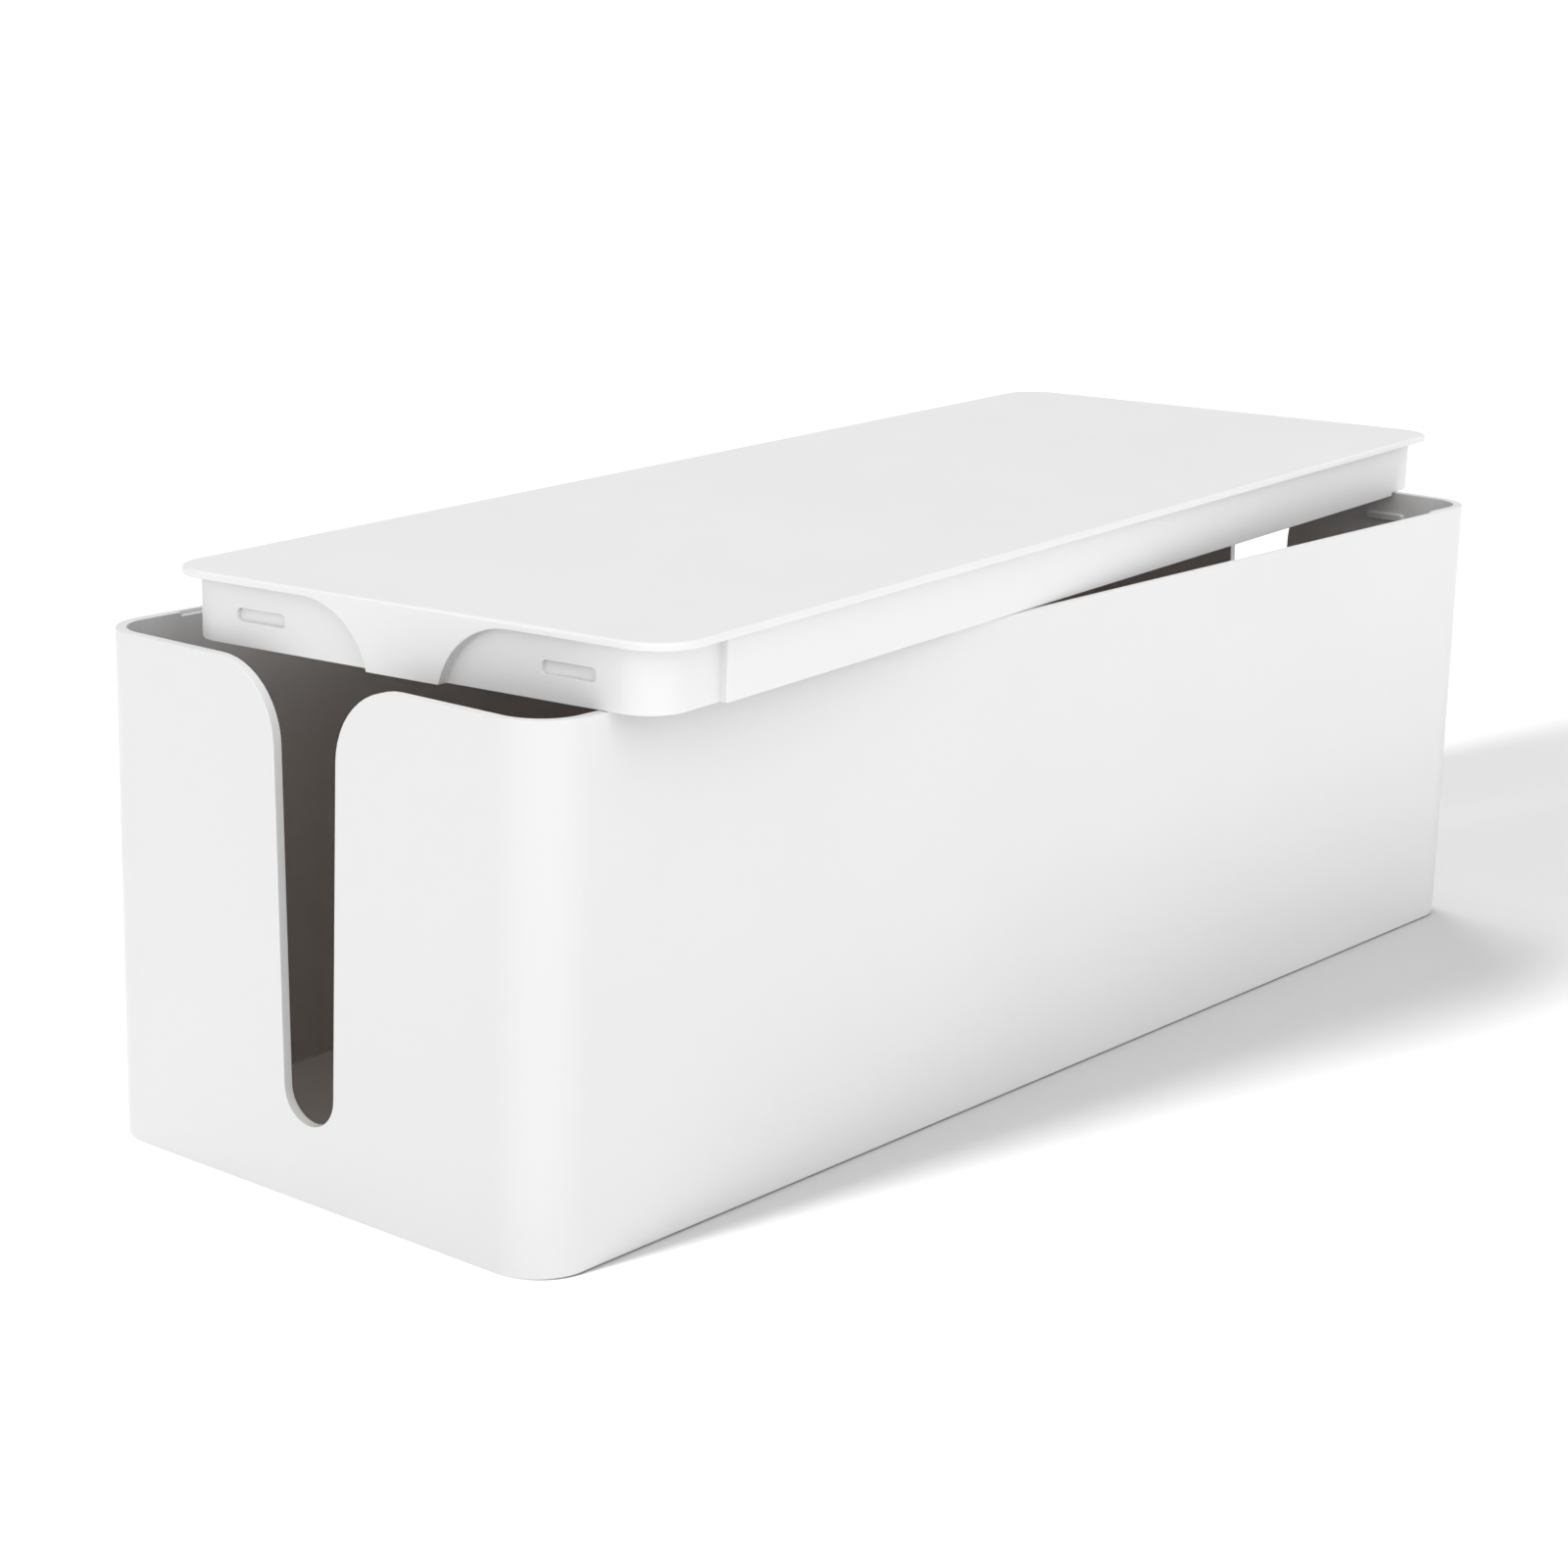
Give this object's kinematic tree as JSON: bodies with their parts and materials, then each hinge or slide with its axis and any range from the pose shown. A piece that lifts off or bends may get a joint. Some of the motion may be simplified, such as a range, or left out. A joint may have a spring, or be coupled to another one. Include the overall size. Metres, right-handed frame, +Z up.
{
  "type": "cable management box",
  "caption": "Open rectangular box that hides a power strip and its leads, with a flared cable slot in each end wall and a loose flanged lid.",
  "frame": {"origin": "on the floor, below the middle of the tub", "axes": "+X along the box's length, +Y across it, +Z up out of the open top"},
  "size_m": [0.4226, 0.1842, 0.1434],
  "materials": {
    "tub_plastic": "white ABS, satin",
    "lid_plastic": "white ABS, fine satin",
    "foot_rubber": "matt"
  },
  "bodies": {
    "tub": {"tub": "tub_plastic", "foot_front_left": "foot_rubber", "foot_front_right": "foot_rubber", "foot_rear_left": "foot_rubber", "foot_rear_right": "foot_rubber"},
    "lid": {"lid": "lid_plastic"}
  },
  "joints": [
    {"name": "lid_lift", "type": "slide", "parent": "tub", "child": "lid", "axis": [0, 0, 1], "range_m": [0, 0.12]}
  ]
}
